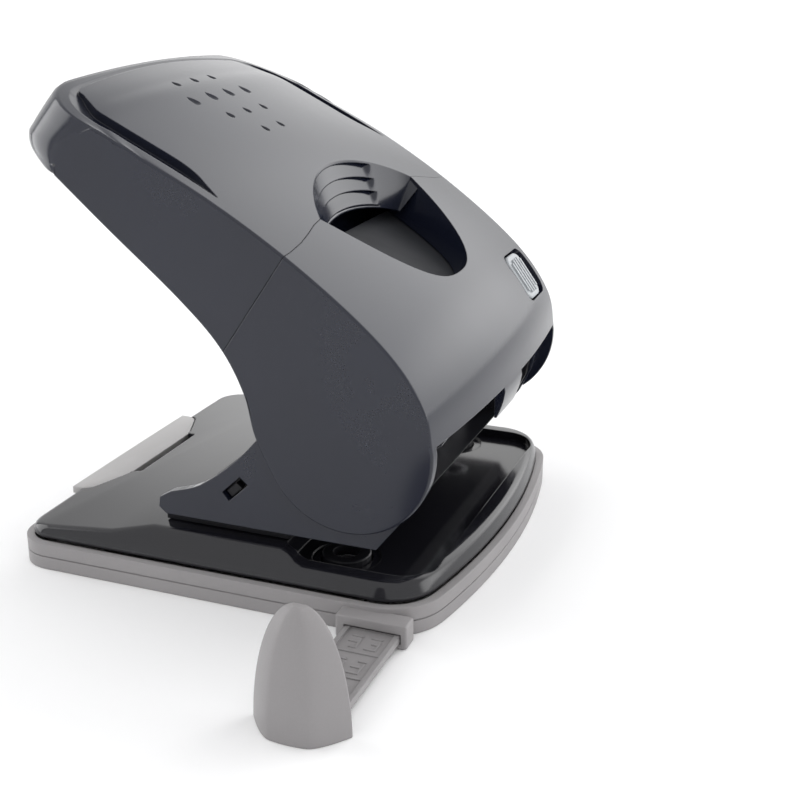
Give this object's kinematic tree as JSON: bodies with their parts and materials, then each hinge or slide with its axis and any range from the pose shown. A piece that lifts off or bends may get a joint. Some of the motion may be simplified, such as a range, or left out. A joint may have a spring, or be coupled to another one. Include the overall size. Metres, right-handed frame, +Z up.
{
  "type": "two hole punch",
  "caption": "Desktop paper punch with a hooded lever handle, chip tray, lock slider and sliding paper guide.",
  "frame": {"origin": "on the ground, straight below the midpoint between the two punch pins", "axes": "+Z up, +X across the punch away from the paper guide, +Y towards the raised end of the handle; paper goes in along +Y"},
  "size_m": [0.1593, 0.1164, 0.1203],
  "materials": {
    "grey_plastic": "fine matte moulding",
    "dark_plastic": "satin blue-black moulding",
    "black_plastic": "polished black moulding",
    "pale_plastic": "ribbed light grey moulding",
    "plated_steel": "zinc-plated sheet and turned steel",
    "painted_steel": "black stoved paint on steel",
    "spring_steel": "bare spring wire"
  },
  "bodies": {
    "base": {"base_cover": "black_plastic", "base_plate": "plated_steel", "punch_frame": "painted_steel", "frame_cheek_left": "dark_plastic", "frame_cheek_right": "dark_plastic", "pin_guide_left": "plated_steel", "pin_guide_right": "plated_steel", "die_left": "painted_steel", "die_right": "painted_steel", "frame_screw_1": "plated_steel", "frame_screw_2": "plated_steel", "frame_screw_3": "plated_steel", "frame_screw_4": "plated_steel", "pivot_shaft": "plated_steel", "shaft_clip_left": "spring_steel", "shaft_clip_right": "spring_steel", "return_spring_left": "spring_steel", "return_spring_right": "spring_steel"},
    "handle": {"handle_rear_shell": "dark_plastic", "handle_front_shell": "dark_plastic", "grip_floor": "dark_plastic", "handle_inner_panel": "dark_plastic", "press_lever": "plated_steel", "press_bar": "plated_steel", "handle_screw_1": "plated_steel", "handle_screw_2": "plated_steel", "handle_screw_3": "plated_steel", "handle_screw_4": "plated_steel", "lever_screw_1": "plated_steel", "lever_screw_2": "plated_steel"},
    "lock": {"lock_slider": "pale_plastic", "lock_bolt": "plated_steel"},
    "pin_left": {"punch_pin_left": "plated_steel", "spring_cap_left": "plated_steel"},
    "pin_right": {"punch_pin_right": "plated_steel", "spring_cap_right": "plated_steel"},
    "tray": {"chip_tray": "grey_plastic"},
    "guide": {"guide_arm": "grey_plastic", "guide_stop": "grey_plastic"}
  },
  "joints": [
    {"name": "handle_press", "type": "hinge", "parent": "base", "child": "handle", "pos_m": [0, -0.0165, 0.043], "axis": [-1, 0, 0], "range_deg": [0, 30], "stiffness_Nm_per_rad": 0.5, "springref_deg": -28.65},
    {"name": "pin_left_slide", "type": "slide", "parent": "base", "child": "pin_left", "axis": [0, 0, -1], "range_m": [0, 0.00905], "deforming": ["return_spring_left"]},
    {"name": "pin_right_slide", "type": "slide", "parent": "base", "child": "pin_right", "axis": [0, 0, -1], "range_m": [0, 0.00905], "deforming": ["return_spring_right"]},
    {"name": "lock_slide", "type": "slide", "parent": "handle", "child": "lock", "axis": [1, 0, 0], "range_m": [0, 0.007]},
    {"name": "tray_hinge", "type": "hinge", "parent": "base", "child": "tray", "pos_m": [0, -0.031, 0.007], "axis": [-1, 0, 0], "range_deg": [0, 35]},
    {"name": "guide_slide", "type": "slide", "parent": "tray", "child": "guide", "axis": [-1, 0, 0], "range_m": [-0.034, 0.06]}
  ],
  "couplings": [
    {"joint": "pin_left_slide", "follows": "handle_press", "m_per_rad": 0.01719},
    {"joint": "pin_right_slide", "follows": "handle_press", "m_per_rad": 0.01719}
  ]
}
